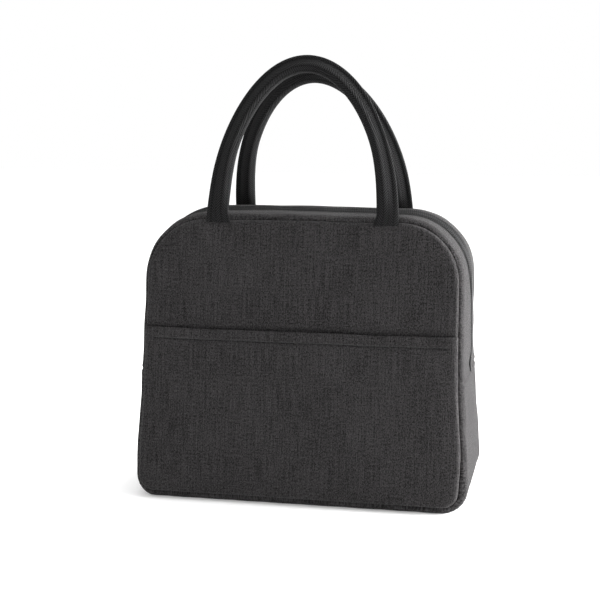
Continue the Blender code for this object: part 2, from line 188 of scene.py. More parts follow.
def bottom_arc(start, end):
    return ("arc", BOTTOM_CENTRE_X, BOTTOM_CENTRE_Z, BOTTOM_RADIUS, start, end)


def top_arc(start, end):
    return ("arc", TOP_CENTRE_X, TOP_CENTRE_Z, TOP_RADIUS, start, end)


def side_run(z0, z1):
    return ("line", (side_x(z0), z0), (side_x(z1), z1), SIDE_NORMAL)


def bottom_half():
    line = ("line", (0, PANEL_BOTTOM), (BOTTOM_CENTRE_X, PANEL_BOTTOM), (0, -1))
    return run(line, bottom_arc(-QUARTER, -QUARTER / 2))


def side_low_z():
    return BOTTOM_CENTRE_Z + BOTTOM_RADIUS * math.sin(TAPER_ANGLE)


def side_high_z():
    return TOP_CENTRE_Z + TOP_RADIUS * math.sin(TAPER_ANGLE)


def mirrored(points, normals):
    flip = np.array([-1, 1])
    return points[::-1] * flip, normals[::-1] * flip


def panel_loop():
    """The whole seam outline, from the bottom left corner round to it again."""
    low = sample(*bottom_half(), COLUMNS // 2)
    side = run(
        bottom_arc(-QUARTER / 2, TAPER_ANGLE),
        side_run(side_low_z(), side_high_z()),
        top_arc(TAPER_ANGLE, QUARTER / 2),
    )
    right = sample(*side, ROWS)
    top = ("line", (TOP_CENTRE_X, PANEL_TOP), (0, PANEL_TOP), (0, 1))
    high = sample(*run(top_arc(QUARTER / 2, QUARTER), top), COLUMNS // 2)
    return closed_loop(low, right, high)


def pocket_loop():
    """The seam outline up to the hem, and the hem."""
    low = sample(*bottom_half(), COLUMNS // 2)
    side = run(bottom_arc(-QUARTER / 2, TAPER_ANGLE), side_run(side_low_z(), HEM))
    right = list(sample(*side, POCKET_ROWS))
    corner = np.array([side_x(HEM), HEM])
    t = np.linspace(0, 1, COLUMNS // 2 + 1)[:, None]
    hem = corner * (1 - t) + np.array([0, HEM]) * t
    normals = np.tile([0.0, 1.0], (len(hem), 1))
    normals[:, 0] = np.clip(1 - (corner[0] - hem[:, 0]) / CORNER_EASE, 0, 1)
    right[1][:, 1] += np.clip(1 - (HEM - right[0][:, 1]) / CORNER_EASE, 0, 1)
    return closed_loop(low, right, (hem, normals, None))


def closed_loop(low, right, high):
    pieces = [
        mirrored(low[0], low[1]),
        (low[0][1:], low[1][1:]),
        (right[0][1:], right[1][1:]),
        (high[0][1:], high[1][1:]),
        tuple(a[1:] for a in mirrored(high[0], high[1])),
        tuple(a[1:] for a in mirrored(right[0], right[1])),
    ]
    points = np.concatenate([p for p, _ in pieces])[:-1]
    normals = np.concatenate([n for _, n in pieces])[:-1]
    return points, normals


# ---------------------------------------------------------------- meshes


def ring_patch(loop, offsets, rows):
    """A flat patch in X and Z: rings in from the loop, then an evened grid. Returns points and quads."""
    base, normal = loop
    count = len(base)
    rings = [base - normal * offset for offset in offsets]
    points = np.concatenate(rings)
    quads = []
    for ring in range(len(offsets) - 1):
        a = ring * count + np.arange(count)
        b = ring * count + (np.arange(count) + 1) % count
        quads.append(np.stack([a, b, b + count, a + count], 1))
    last = rings[-1]
    start = (len(offsets) - 1) * count
    i, j = np.meshgrid(np.arange(COLUMNS + 1), np.arange(rows + 1), indexing="ij")
    low = last[: COLUMNS + 1]
    right = last[COLUMNS : COLUMNS + rows + 1]
    high = last[COLUMNS + rows : 2 * COLUMNS + rows + 1][::-1]
    left_index = (2 * COLUMNS + rows + np.arange(rows + 1)) % count
    left = last[left_index][::-1]
    u = (i / COLUMNS)[..., None]
    v = (j / rows)[..., None]
    grid = (1 - v) * low[:, None] + v * high[:, None] + (1 - u) * left[None] + u * right[None]
    grid = grid - (
        (1 - u) * (1 - v) * low[0] + u * (1 - v) * low[-1] + (1 - u) * v * high[0] + u * v * high[-1]
    )
    for _ in range(SMOOTHING):
        near = grid[:-2, 1:-1] + grid[2:, 1:-1] + grid[1:-1, :-2] + grid[1:-1, 2:]
        grid[1:-1, 1:-1] = near / 4
    index = np.zeros((COLUMNS + 1, rows + 1), int)
    inner = len(points) + np.arange((COLUMNS - 1) * (rows - 1)).reshape(COLUMNS - 1, rows - 1)
    index[1:-1, 1:-1] = inner
    index[:, 0] = start + np.arange(COLUMNS + 1)
    index[-1, :] = start + COLUMNS + np.arange(rows + 1)
    index[:, -1] = (start + COLUMNS + rows + np.arange(COLUMNS + 1))[::-1]
    index[0, :] = (start + left_index)[::-1]
    points = np.concatenate([points, grid[1:-1, 1:-1].reshape(-1, 2)])
    quads.append(grid_quads(index))
    return points, np.concatenate(quads)


def grid_quads(index):
    a, b = index[:-1, :-1].ravel(), index[1:, :-1].ravel()
    c, d = index[1:, 1:].ravel(), index[:-1, 1:].ravel()
    return np.stack([a, b, c, d], 1)


def vertex_normals(points, quads):
    corner = points[quads]
    face = np.cross(corner[:, 2] - corner[:, 0], corner[:, 3] - corner[:, 1])
    normals = np.zeros_like(points)
    for k in range(4):
        np.add.at(normals, quads[:, k], face)
    return normals / np.maximum(np.linalg.norm(normals, axis=1), 1e-12)[:, None]


def thicken(points, quads, uv, thickness):
    """Makes a closed shell: the points stay its outer face."""
    count = len(points)
    inner = points - vertex_normals(points, quads) * thickness
    edges = np.concatenate([quads[:, [k, (k + 1) % 4]] for k in range(4)])
    key = np.sort(edges, 1)
    order = key[:, 0] * (count + 1) + key[:, 1]
    _, first, uses = np.unique(order, return_index=True, return_counts=True)
    rim = edges[first[uses == 1]]
    rim_quads = np.stack([rim[:, 1], rim[:, 0], rim[:, 0] + count, rim[:, 1] + count], 1)
    faces = np.concatenate([quads, quads[:, ::-1] + count, rim_quads])
    return np.concatenate([points, inner]), faces, np.concatenate([uv, uv])


def face_out(points, quads, centre):
    """Turns the quads so that they face away from the centre."""
    corner = points[quads]
    face = np.cross(corner[:, 2] - corner[:, 0], corner[:, 3] - corner[:, 1])
    away = corner.mean(1) - centre
    return quads if (face * away).sum() > 0 else quads[:, ::-1]


def make_mesh(name, points, faces, uv=None, sharp=50.0):
    mesh = bpy.data.meshes.new(name)
    faces = faces if isinstance(faces, list) else faces.tolist()
    mesh.from_pydata((np.asarray(points) * MM).tolist(), [], faces)
    if uv is not None:
        layer = mesh.uv_layers.new(name="fabric")
        index = np.zeros(len(mesh.loops), np.int32)
        mesh.loops.foreach_get("vertex_index", index)
        layer.data.foreach_set("uv", (np.asarray(uv)[index] / 100.0).astype(np.float32).ravel())
    mesh.shade_smooth()
    mesh.set_sharp_from_angle(angle=math.radians(sharp))
    obj = bpy.data.objects.new(name, mesh)
    bpy.context.scene.collection.objects.link(obj)
    return obj


# ---------------------------------------------------------------- the soft shape


def waves(seed, count, amplitude, shortest, longest):
    """Smooth hand-made unevenness as a sum of slow waves, the same at each run."""
    random = np.random.default_rng(seed)
    direction = random.normal(size=(count, 3))
    direction /= np.linalg.norm(direction, axis=1)[:, None]
    length = random.uniform(shortest, longest, count)
    phase = random.uniform(0, 2 * math.pi, count)
    push = random.normal(size=(count, 3))
    push *= amplitude / np.linalg.norm(push, axis=1)[:, None] / math.sqrt(count)

    def displace(points):
        angles = points @ (direction * (2 * math.pi / length)[:, None]).T + phase
        return np.sin(angles) @ push

    return displace


SLOW_WAVES = waves(3, 9, 0.7, 60.0, 150.0)
QUICK_WAVES = waves(8, 12, 0.32, 17.0, 38.0)


def slump(points):
    """The sag of the standing bag: fuller low sides and soft unevenness, with a flat base."""
    points = np.array(points, float)
    x, z = points[:, 0].copy(), points[:, 2].copy()
    full = np.exp(-(((z - LOW_FULL_Z) / LOW_FULL_REACH) ** 2)) * (z < FOLD + 30)
    side = smooth((np.abs(x) - 60.0) / 50.0)
    points[:, 0] += np.sign(x) * side * np.where(x > 0, RIGHT_FULL, LEFT_FULL) * full
    moved = SLOW_WAVES(points) + QUICK_WAVES(points)
    lift = smooth(z / 14.0)[:, None]
    points += moved * lift * np.array([0.7, 1.0, 0.8])
    points[:, 2] = np.maximum(points[:, 2], 0.25)
    return points


def edge_roll(inside, radius=EDGE_ROLL):
    """How far the face drops as it turns into a seam."""
    t = np.clip(1 - inside / radius, 0, 1)
    return radius * (1 - np.sqrt(np.maximum(1 - t * t, 0)))


def puffed(inside, puff):
    """How far a piece stands out at this distance inside its seam."""
    height, reach = puff
    return height * (1 - np.exp(-inside / reach))


PANEL_RINGS = (0.0, 0.12, 0.4, 0.8, 1.3, 1.9, 2.7, 4.0, 6.0, 8.6)


def panel_depth(x, z, facing):
    """The depth of a panel's outer face, in from the plane through its seam."""
    inside = edge_distance(x, z)
    depth = edge_roll(inside) - puffed(inside, PANEL_PUFF)
    if facing == FRONT:
        under = smooth((HEM + 3.4 - z) / 3.0)
        depth = depth + under * UNDER_POCKET
    return depth


def placed(x, z, depth, facing):
    return np.stack([x, facing * (half_depth(z) - depth), z], 1)


def panel(name, facing):
    """A panel's fabric, from seam to seam, turned in at its edge."""
    points, quads = ring_patch(panel_loop(), PANEL_RINGS, ROWS)
    x, z = points.T
    depth = panel_depth(x, z, facing)
    face = placed(x, z, depth, facing)
    if facing == FRONT:
        under = smooth((HEM - 1.0 - z) / 5.0) * UNDER_POCKET
        pull = under * np.clip(1 - edge_distance(x, z) / PANEL_RINGS[-1], 0, 1)
        way = MIDDLE[[0, 2]] - points
        way /= np.linalg.norm(way, axis=1)[:, None]
        face[:, 0] += way[:, 0] * pull
        face[:, 2] += way[:, 1] * pull
    turn = np.full(2 * (COLUMNS + ROWS), -facing * PANEL_TURN)
    return turned_in(name, points, quads, face, turn, FABRIC)


def turned_in(name, points, quads, face, turn, thickness, shift=0.0):
    """A piece whose edge is turned in at its seam by these distances along Y."""
    count = len(turn)
    wall = face[:count].copy()
    wall[:, 1] += turn
    here = np.arange(count)
    following = (here + 1) % count
    wall_quads = np.stack([len(face) + here, len(face) + following, following, here], 1)
    quads = np.concatenate([quads, wall_quads])
    shell = slump(np.concatenate([face, wall]))
    quads = face_out(shell, quads, MIDDLE)
    uv = np.concatenate([points, points[:count]]) + shift
    return make_mesh(name, *thicken(shell, quads, uv, thickness))


def pocket_depth(x, z):
    """The depth of the pocket's outer face: slack at its mouth, with a folded and stitched hem."""
    inside = edge_distance(x, z)
    below = HEM - z
    puff = puffed(inside, POCKET_PUFF)
    slack = 1.1 * smooth((z - 70.0) / 50.0) * (1 - (x / side_x(z)) ** 2)
    across = ((x - 50.0) * 0.5 + (z - 60.0) * 0.87) / 13.0
    down = ((x - 50.0) * 0.87 - (z - 60.0) * 0.5) / 36.0
    slack = slack - 0.9 * np.exp(-(across**2) - down**2)
    hem = 0.55 * smooth((HEM_STITCH - below) / 0.9) * smooth(below / 0.8)
    stitch = 0.95 * np.exp(-(((below - HEM_STITCH) / 0.55) ** 2))
    edge = 0.7 * (1 - smooth(below / 0.9))
    side = smooth(inside / EDGE_ROLL)
    return edge_roll(inside) - puff - POCKET_PROUD - slack - (hem - stitch - edge) * side


HEM_RINGS = (0.0, 0.12, 0.4, 0.8, 1.3, 1.9, 2.7, 4.0, 6.0, 6.6, 7.0, 7.4, 7.8, 8.3, 9.2)


def pocket(name):
    points, quads = ring_patch(pocket_loop(), HEM_RINGS, POCKET_ROWS)
    x, z = points.T
    face = placed(x, z, pocket_depth(x, z), FRONT)
    edge_z = z[: 2 * (COLUMNS + POCKET_ROWS)]
    turn = np.where(edge_z < HEM - 0.01, POCKET_TURN, HEM_TURN)
    return turned_in(name, points, quads, face, turn, FABRIC - 0.1, POCKET_SHIFT)


# ---------------------------------------------------------------- gusset strips


def lower_run():
    """From the right fold point down, under the bag and up to the left one."""
    bottom = ("line", (0, PANEL_BOTTOM), (BOTTOM_CENTRE_X, PANEL_BOTTOM), (0, -1))
    right = run(bottom, bottom_arc(-QUARTER, TAPER_ANGLE), side_run(side_low_z(), FOLD))
    left = mirrored(*right)
    points = np.concatenate([left[0], right[0][1:]])
    normals = np.concatenate([left[1], right[1][1:]])
    return points, normals


def upper_run():
    top = ("line", (TOP_CENTRE_X, PANEL_TOP), (0, PANEL_TOP), (0, 1))
    right = run(side_run(FOLD, side_high_z()), top_arc(TAPER_ANGLE, QUARTER), top)
    left = mirrored(*right)
    points = np.concatenate([right[0], left[0][1:]])
    normals = np.concatenate([right[1], left[1][1:]])
    return points, normals


def whole_run():
    low, high = lower_run(), upper_run()
    points = np.concatenate([low[0], high[0][1:-1]])
    normals = np.concatenate([low[1], high[1][1:-1]])
    return points, normals


def run_length(points):
    return np.hypot(*np.diff(points, axis=0).T).sum()


def spaced(line, ends=()):
    """Even stations along a run, with closer ones near its two ends."""
    points, normals = line
    length = run_length(points)
    count = int(round(length / STEP))
    wanted = np.linspace(0, length, count + 1)
    close = np.array(ends, float)
    wanted = np.unique(np.concatenate([wanted, close, length - close]).round(4))
    if len(close):
        reach = close.max()
        crowded = (wanted > reach) & (wanted < reach + 1.0)
        crowded |= (wanted < length - reach) & (wanted > length - reach - 1.0)
        wanted = wanted[~crowded]
    gaps = np.hypot(*np.diff(points, axis=0).T)
    along = np.concatenate([[0], np.cumsum(gaps)])
    columns = [np.interp(wanted, along, c) for c in (*points.T, *normals.T)]
    return np.stack(columns[:2], 1), np.stack(columns[2:], 1), wanted


def crown_at(z, normal, sink=0.0):
    """The gusset's rise at each station, as (side, flat) shares of its outward normal."""
    low = smooth((FOLD + 8 - z) / 16.0)
    side = UPPER_CROWN[0] + (LOWER_CROWN[0] - UPPER_CROWN[0]) * low - sink
    flat = np.where(normal[:, 1] < 0, LOWER_CROWN[1], UPPER_CROWN[1]) - sink
    return np.stack([side, flat], 1)


def left_ease(x, y, z):
    """The share of the crown that is left: less beside the left seams, and a little less on the right."""
    middle = smooth((half_depth(z) - np.abs(y) - 7.0) / 24.0)
    right = 0.28 * smooth(x / 60.0) * smooth((z - 15.0) / 30.0)
    return 1 - 0.45 * smooth(-x / 60.0) * (1 - middle) - right


def zip_tilt(x, y, z):
    """The rise beside the zip: the back lip stands above the front one on top, and below it on the right."""
    right = smooth((x - 20.0) / 60.0)
    rise = 1.3 - 0.5 * right + (1.5 + 0.5 * right) * np.tanh(y / 2.0)
    rise = rise + 0.55 * np.exp(-((y / 2.4) ** 2))
    low = right * smooth((z - 95.0) / 12.0) * (1 - smooth((z - 135.0) / 30.0))
    lean = rise * smooth((z - 138.0) / 50.0) - 1.6 * low * np.tanh(y / 2.6)
    return lean * np.exp(-((y / np.where(y > 0, 32.0, 22.0)) ** 2))


def band(name, line, rows, thickness, sink, roll=0.0, closed=False, crest=None, uv_shift=0.0):
    """A strip round the outline. Each row is (share of the crown, a function of z that gives Y)."""
    base, normal, along = line
    rise = crown_at(base[:, 1], normal, sink)
    if roll:
        gap = np.minimum(along, along[-1] - along)
        rise = rise - edge_roll(gap, END_ROLL)[:, None] * roll
        rise = rise + END_RIDGE * np.exp(-(((gap - 2.5) / 1.3) ** 2))[:, None]
    verts, uvs = [], []
    for share, across in rows:
        rough_y = np.broadcast_to(across(base[:, 1]), len(base))
        extra = 0.0 if crest is None else crest(along, rough_y, base[:, 1])[:, None]
        shaped = rise * share + extra
        shaped[:, 0] *= left_ease(base[:, 0], rough_y, base[:, 1])
        spot = base + normal * (shaped + zip_tilt(base[:, 0], rough_y, base[:, 1])[:, None])
        y = np.broadcast_to(across(spot[:, 1]), len(spot))
        verts.append(np.stack([spot[:, 0], y, spot[:, 1]], 1))
        uvs.append(np.stack([y, along + uv_shift], 1))
    stations, count = len(base), len(rows)
    index = (np.arange(count)[:, None] * stations) + np.arange(stations)[None]
    if closed:
        index = np.concatenate([index, index[:, :1]], 1)
    points = slump(np.concatenate(verts))
    quads = grid_quads(index)
    quads = face_out(points, quads, MIDDLE)
    return make_mesh(name, *thicken(points, quads, np.concatenate(uvs), thickness))


def from_seam(facing, depth):
    return lambda z: facing * (half_depth(z) - depth)


def between(facing, depth, y, share):
    """Part of the way from a seam's shoulder to a distance from the middle."""
    return lambda z: facing * ((half_depth(z) - depth) * (1 - share) + y * share)


def shoulder_rows(facing):
    rows = [(0.02, from_seam(facing, SEAM_DEPTH + 0.3))]
    for angle in np.radians([3, 10, 20, 32, 45, 60, 76, 90]):
        depth = SEAM_DEPTH + SHOULDER * (1 - math.cos(angle))
        rows.append((0.03 + 0.97 * math.sin(angle), from_seam(facing, depth)))
    return rows


LIP_Y = 3.2
STITCH_IN = 4.2
LIP_SHARE = 0.99


def strip_rows(facing):
    """From the seam over the shoulder to the folded lip beside the zip."""
    depth = SEAM_DEPTH + SHOULDER
    rows = shoulder_rows(facing)
    for share in np.linspace(0, 1, 13)[1:-1]:
        crest = 1 + 0.10 * math.sin(math.pi * share)
        rows.append((crest, between(facing, depth, LIP_Y + 5.6, share)))
    folds = ((5.0, 1.02), (STITCH_IN, LIP_SHARE), (3.4, 1.03), (2.2, 1.06), (1.2, 1.07), (0.5, 1.03))
    for y, share in (*folds, (0.1, 0.9)):
        rows.append((share, lambda z, y=y: facing * (LIP_Y + y)))
    rows.append((0.72, lambda z: facing * (LIP_Y - 0.05)))
    return rows


def dimples(along, y, z):
    """Shallow puckers where the strip's seam gathers it."""
    return 0.22 * np.sin(along / 4.1 + 0.7 * np.sin(along / 23.0)) * np.exp(
        -((half_depth(z) - np.abs(y) - 7.0) / 4.5) ** 2
    )


def lower_gusset(name):
    depth = SEAM_DEPTH + SHOULDER
    rows = shoulder_rows(FRONT)
    for share in np.linspace(-1, 1, 34)[1:-1]:
        rows.append((1.0, lambda z, share=share: share * (half_depth(z) - depth)))
    rows += shoulder_rows(BACK)[::-1]
    line = spaced(lower_run(), END_STATIONS)
    return band(name, line, rows, FABRIC, 0.0, roll=0.45, crest=dimples)


def top_strip(name, facing):
    line = spaced(upper_run(), END_STATIONS)
    shift = FRONT_STRIP_SHIFT if facing == FRONT else BACK_STRIP_SHIFT
    rows = strip_rows(facing)
    return band(name, line, rows, FABRIC, 0.0, roll=0.5, crest=dimples, uv_shift=shift)


def flat_rows(first, last, count):
    rows = []
    for share in np.linspace(0, 1, count):
        rows.append((1.0, lambda z, share=share: first(z) * (1 - share) + last(z) * share))
    return rows


# ---------------------------------------------------------------- zip

TAPE_SINK = 1.4
COIL_PITCH = 1.3
COIL_Y = 1.12
COIL_RISE = 0.72
COIL_REACH = 1.02
COIL_LIFT = 0.15
COIL_STEPS = 10
WIRE = 0.3
WIRE_SIDES = 5
TAPE_START = 0.25
TAPE_REACH = 15.0


def zip_coil(name, facing):
    """A nylon coil: one flattened helix that runs the length of the tape's edge."""
    points, normals = upper_run()
    turns = int(run_length(points) / COIL_PITCH)
    base, normal, _ = sample(points, normals, turns * COIL_STEPS)
    angle = np.arange(len(base)) * 2 * math.pi / COIL_STEPS
    angle += 0.0 if facing == FRONT else math.pi
    rise = crown_at(base[:, 1], normal, TAPE_SINK)
    up = COIL_LIFT + COIL_RISE + COIL_RISE * np.cos(angle)
    y = facing * (COIL_Y - COIL_REACH * np.sin(angle))
    spot = base + normal * (rise + (up + zip_tilt(base[:, 0], y, base[:, 1]))[:, None])
    centre = np.stack([spot[:, 0], y, spot[:, 1]], 1)
    return tube(name, slump(centre), WIRE, WIRE_SIDES)


def tube(name, centre, radius, sides):
    along = np.gradient(centre, axis=0)
    along /= np.linalg.norm(along, axis=1)[:, None]
    side = np.cross(along, np.array([0.0, 1.0, 0.02]))
    side /= np.linalg.norm(side, axis=1)[:, None]
    up = np.cross(side, along)
    rings = []
    for k in range(sides):
        a = 2 * math.pi * k / sides
        rings.append(centre + radius * (math.cos(a) * side + math.sin(a) * up))
    count = len(centre)
    points = np.stack(rings, 1).reshape(-1, 3)
    index = np.arange(count * sides).reshape(count, sides)
    index = np.concatenate([index, index[:, :1]], 1)
    faces = grid_quads(index).tolist()
    faces.append(list(range(sides)))
    faces.append(list(range((count - 1) * sides, count * sides))[::-1])
    return make_mesh(name, points, faces)


def make_tube_faces_consistent(obj):
    shape = bmesh.new()
    shape.from_mesh(obj.data)
    bmesh.ops.recalc_face_normals(shape, faces=shape.faces)
    shape.to_mesh(obj.data)
    shape.free()


# ---------------------------------------------------------------- handles

HANDLE_HALF_SPAN = 67.9
HANDLE_RISE = 118.4
FULLNESS = 1.97
HANDLE_WIDTH = 12.6
CORE = 4.3
FRONT_LEAN = 9.4
BACK_LEAN = 21.5
HANDLE_STEPS = 200


def handle_edge(t):
    """The outer edge of a handle in its own plane, from its right foot to its left."""
    angle = math.pi * t
    power = 2 / FULLNESS
    x = np.sign(np.cos(angle)) * HANDLE_HALF_SPAN * np.abs(np.cos(angle)) ** power
    h = HANDLE_RISE * np.maximum(np.sin(angle), 0) ** power
    return np.stack([x, h], 1)


def handle_section():
    """Half of the section, from the flange's tip round the core: (inwards, half thickness)."""
    half = [(0.35, 0.0), (0.0, 0.4), (0.12, 0.95), (0.6, 1.2), (1.5, 1.25), (2.4, 1.12)]
    half += [(3.2, 1.35), (4.2, 1.9)]
    centre = HANDLE_WIDTH - CORE
    for degrees in (52, 66, 80, 94, 108, 122, 136, 150, 165):
        angle = math.radians(degrees)
        half.append((centre - CORE * math.cos(angle), CORE * math.sin(angle)))
    half.append((HANDLE_WIDTH, 0.0))
    other = [(a, -b) for a, b in half[1:-1]][::-1]
    return np.array(half + other)


def handle(name, facing, lean):
    """Webbing folded over a cord and sewn along its edge, which flattens at both feet."""
    t = np.linspace(0, 1, 2001)
    dense = handle_edge(t)
    gaps = np.hypot(*np.diff(dense, axis=0).T)
    along = np.concatenate([[0], np.cumsum(gaps)])
    s = np.linspace(0, along[-1], HANDLE_STEPS + 1)
    edge = np.stack([np.interp(s, along, dense[:, 0]), np.interp(s, along, dense[:, 1])], 1)
    tangent = np.gradient(edge, axis=0)
    tangent /= np.linalg.norm(tangent, axis=1)[:, None]
    inwards = np.stack([-tangent[:, 1], tangent[:, 0]], 1)
    section = handle_section()
    height = edge[:, 1]
    wide = 1 + (2.6 * smooth((66 - height) / 56) + 2.2 * smooth((9 - height) / 9)) / HANDLE_WIDTH
    flat = smooth((26 - height) / 22)
    verts, uvs = [], []
    around = np.concatenate([[0], np.cumsum(np.hypot(*np.diff(section, axis=0).T))])
    for k, (a, b) in enumerate(section):
        inward = a * wide
        thin = np.sign(b) * 1.35 * (1 - 0.25 * abs(2 * a / HANDLE_WIDTH - 1) ** 6)
        thick = b * (1 - flat) + thin * flat
        place = edge + inwards * inward[:, None]
        verts.append(np.stack([place[:, 0], thick, place[:, 1]], 1))
        uvs.append(np.stack([np.full(len(s), around[k]), s], 1))
    points = np.stack(verts, 1).reshape(-1, 3)
    uv = np.stack(uvs, 1).reshape(-1, 2)
    count = len(section)
    index = np.arange(len(s) * count).reshape(len(s), count)
    index = np.concatenate([index, index[:, :1]], 1)
    faces = grid_quads(index).tolist()
    faces.append(list(range(count)))
    faces.append(list(range((len(s) - 1) * count, len(s) * count))[::-1])
    sway = waves(21 if facing == FRONT else 34, 5, 0.5, 50.0, 110.0)
    points = points + sway(points) * smooth(points[:, 2] / 40.0)[:, None]
    points = lean_over(points, facing, lean)
    obj = make_mesh(name, points, faces, uv, sharp=60)
    make_tube_faces_consistent(obj)
    return obj


def lean_over(points, facing, lean):
    """Stands a handle's own frame in the top seam and leans it towards the middle."""
    angle = math.radians(lean)
    up = points[:, 2] - 2.2
    y = points[:, 1] * math.cos(angle) - up * math.sin(angle) * facing
    z = up * math.cos(angle) + points[:, 1] * math.sin(angle) * facing
    foot_y = facing * (half_depth(PANEL_TOP) - 0.9)
    return np.stack([points[:, 0], foot_y + y, PANEL_TOP + z], 1)


# ---------------------------------------------------------------- stitches

LIP_PITCH = 3.0
HEM_PITCH = 3.1
HEM_STITCH_END = 1.2


def stitches(name, centres, along, up, length=2.3, width=0.42, height=0.34):
    """A row of thread stitches: one small rounded bead for each."""
    rings = ((-0.5, 0.25), (-0.36, 0.8), (-0.12, 1.0), (0.12, 1.0), (0.36, 0.8), (0.5, 0.25))
    sides = 6
    verts, faces = [], []
    side = np.cross(along, up)
    for centre, t, n, b in zip(centres, along, up, side):
        start = len(verts)
        for shift, size in rings:
            for k in range(sides):
                a = 2 * math.pi * k / sides
                spot = centre + t * shift * length
                spot = spot + b * size * width * math.cos(a) + n * size * height * math.sin(a)
                verts.append(spot)
        for ring in range(len(rings) - 1):
            for k in range(sides):
                a = start + ring * sides + k
                b2 = start + ring * sides + (k + 1) % sides
                faces.append((a, b2, b2 + sides, a + sides))
        faces.append(tuple(range(start, start + sides))[::-1])
        last = start + (len(rings) - 1) * sides
        faces.append(tuple(range(last, last + sides)))
    obj = make_mesh(name, np.array(verts), faces)
    make_tube_faces_consistent(obj)
    return obj


def lip_stitches(name, facing):
    """Topstitching that holds the folded lip of a strip down beside the zip."""
    points, normals = upper_run()
    count = int(run_length(points) / LIP_PITCH)
    base, normal, _ = sample(points, normals, count)
    base, normal = base[3:-3], normal[3:-3]
    y = np.full(len(base), facing * (LIP_Y + STITCH_IN))
    rise = crown_at(base[:, 1], normal)
    rise[:, 0] *= left_ease(base[:, 0], y, base[:, 1])
    lift = zip_tilt(base[:, 0], y, base[:, 1])[:, None] + 0.12
    spot = base + normal * (rise * LIP_SHARE + lift)
    centre = slump(np.stack([spot[:, 0], y, spot[:, 1]], 1))
    along = np.gradient(centre, axis=0)
    along /= np.linalg.norm(along, axis=1)[:, None]
    up = np.stack([normal[:, 0], np.zeros(len(base)), normal[:, 1]], 1)
    up -= along * (up * along).sum(1)[:, None]
    up /= np.linalg.norm(up, axis=1)[:, None]
    return stitches(name, centre, along, up, 2.2, 0.4, 0.3)


def hem_stitches(name):
    reach = side_x(HEM) - HEM_STITCH_END
    x = np.linspace(-reach, reach, round(2 * reach / HEM_PITCH))
    z = np.full_like(x, HEM - HEM_STITCH)
    spot = slump(placed(x, z, pocket_depth(x, z) - 0.02, FRONT))
    along = np.gradient(spot, axis=0)
    along /= np.linalg.norm(along, axis=1)[:, None]
    up = np.tile([0.0, -1.0, LEAN], (len(x), 1))
    return stitches(name, spot, along, up)


# ---------------------------------------------------------------- materials

# Of the webbing, in UV units of 100 mm: the width of a rib's slope and the pitch of the ribs
HERRINGBONE = 0.034
RIB = 0.019


class Nodes:
    """Short calls that add and join shader nodes."""

    def __init__(self, name):
        self.material = bpy.data.materials.new(name)
        self.material.use_nodes = True
        self.tree = self.material.node_tree
        self.shader = self.tree.nodes["Principled BSDF"]

    def node(self, kind, inputs=None, **settings):
        made = self.tree.nodes.new(kind)
        for key, value in settings.items():
            setattr(made, key, value)
        for key, value in (inputs or {}).items():
            self.feed(made.inputs[key], value)
        return made

    def feed(self, socket, value):
        if isinstance(value, bpy.types.NodeSocket):
            self.tree.links.new(value, socket)
        else:
            socket.default_value = value

    def math(self, operation, a, b=0.0):
        return self.node("ShaderNodeMath", {0: a, 1: b}, operation=operation).outputs[0]

    def ramp(self, factor, stops):
        made = self.node("ShaderNodeValToRGB", {0: factor})
        for position, colour in stops[2:]:
            made.color_ramp.elements.new(position)
        for element, (position, colour) in zip(made.color_ramp.elements, sorted(stops)):
            element.position = position
            element.color = (*colour, 1.0)
        return made.outputs[0]

    def uv(self, scale):
        source = self.node("ShaderNodeUVMap", uv_map="fabric").outputs[0]
        return self.node("ShaderNodeMapping", {0: source, 3: scale}).outputs[0]

    def object(self, scale):
        source = self.node("ShaderNodeTexCoord").outputs["Object"]
        return self.node("ShaderNodeMapping", {0: source, 3: scale}).outputs[0]

    def noise(self, vector, scale, detail=2.0, rough=0.5):
        inputs = {"Vector": vector, "Scale": scale, "Detail": detail, "Roughness": rough}
        return self.node("ShaderNodeTexNoise", inputs).outputs[0]

    def bump(self, height, strength, distance):
        inputs = {"Height": height, "Strength": strength, "Distance": distance}
        return self.node("ShaderNodeBump", inputs).outputs[0]


